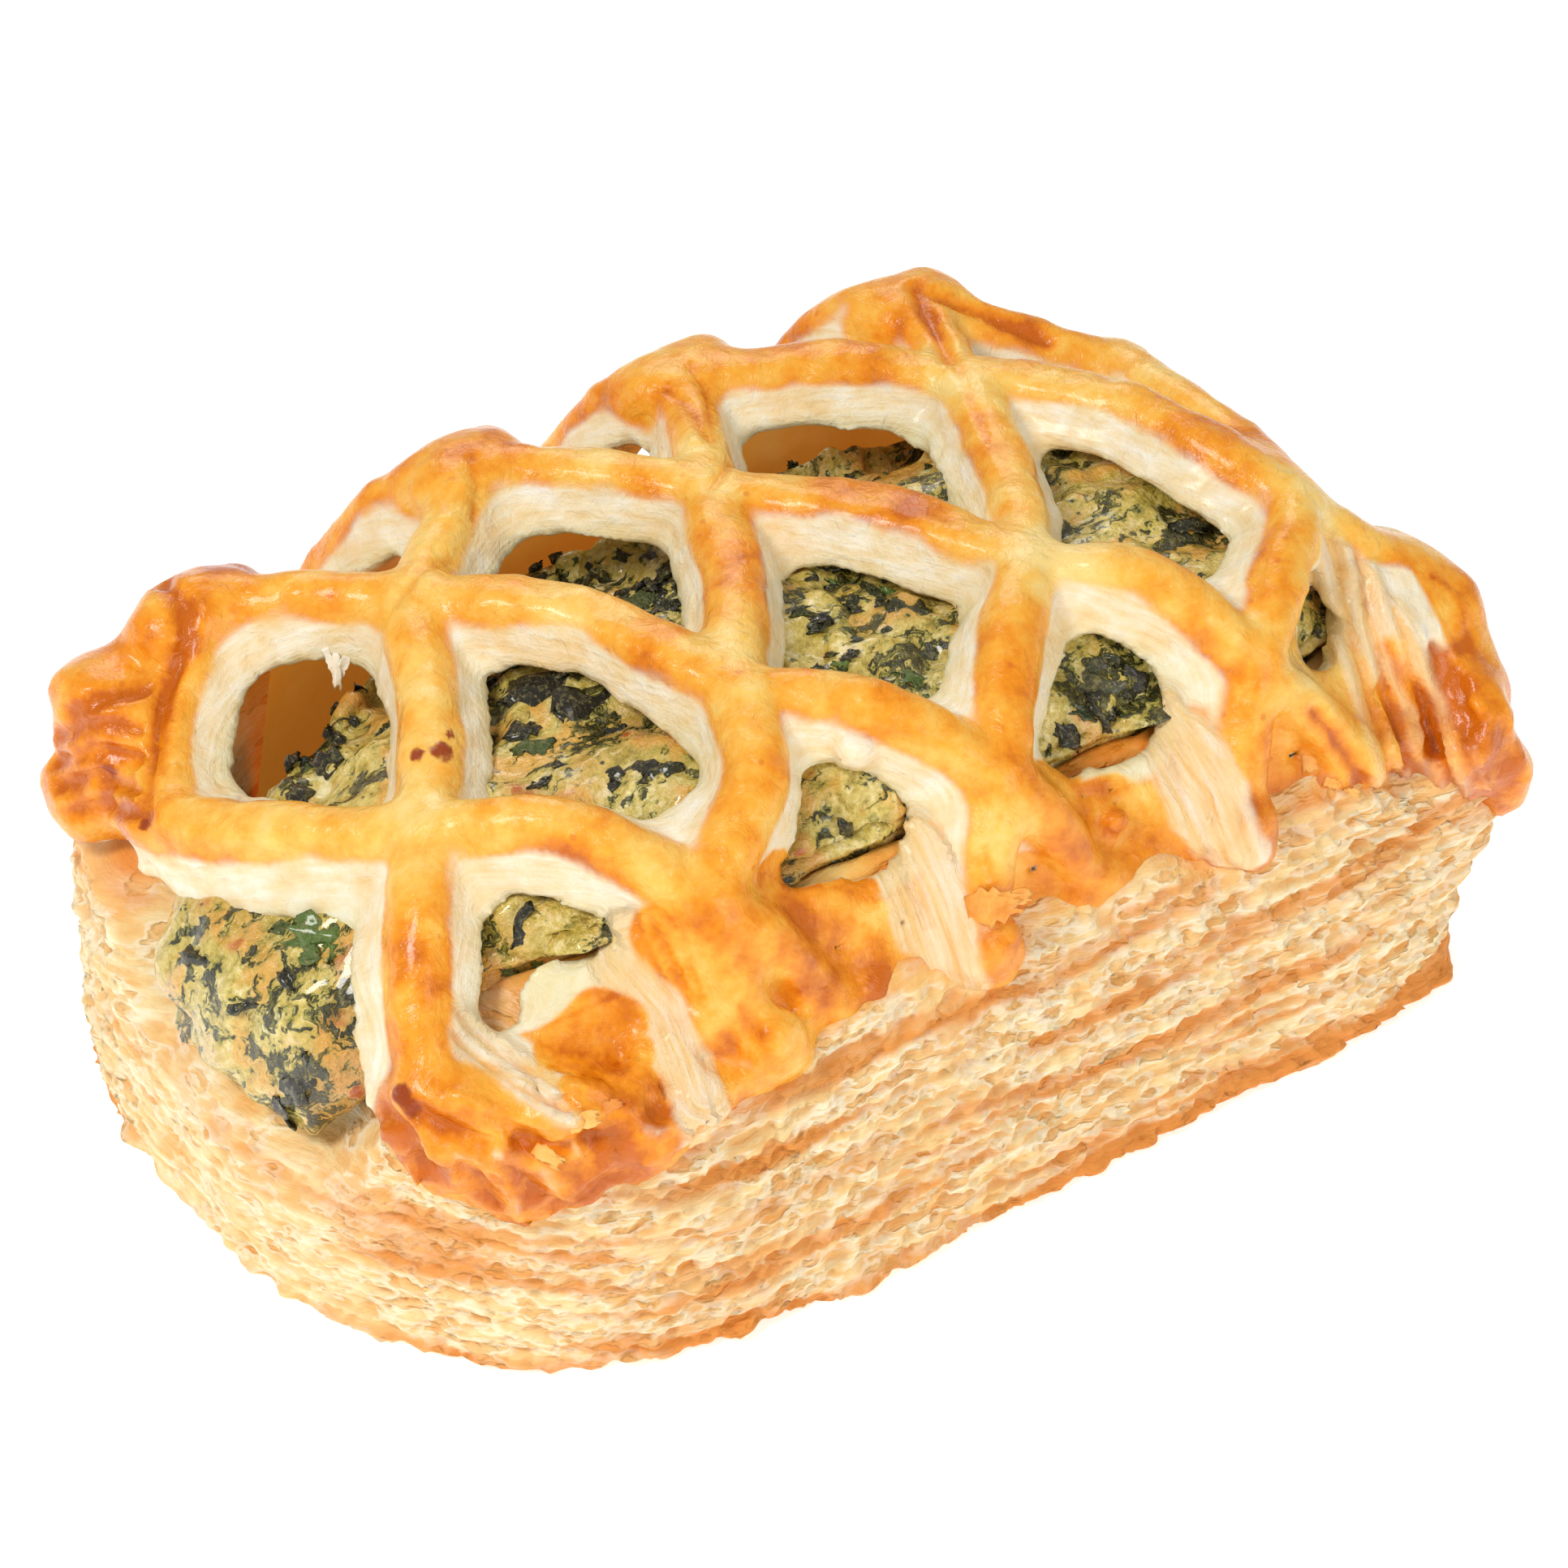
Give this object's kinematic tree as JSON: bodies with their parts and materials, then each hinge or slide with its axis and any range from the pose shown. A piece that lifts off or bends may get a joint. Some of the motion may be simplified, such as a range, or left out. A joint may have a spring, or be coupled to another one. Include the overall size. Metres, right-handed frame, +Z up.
{
  "type": "spinach feta pastry",
  "caption": "Rectangular puff pastry with a laminated case, spinach and feta filling and a domed, slit lattice lid.",
  "frame": {"origin": "middle of the box around the pastry, on its flat underside", "axes": "+X along the length, towards the folded right end; +Y from the shown long side to the back; +Z up"},
  "size_m": [0.1068, 0.071, 0.0478],
  "materials": {
    "pastry": "matte",
    "filling": "satin",
    "glazed_pastry": "satin"
  },
  "bodies": {
    "root": {"pastry_case": "pastry", "filling": "filling", "lattice_lid": "glazed_pastry"}
  },
  "joints": []
}
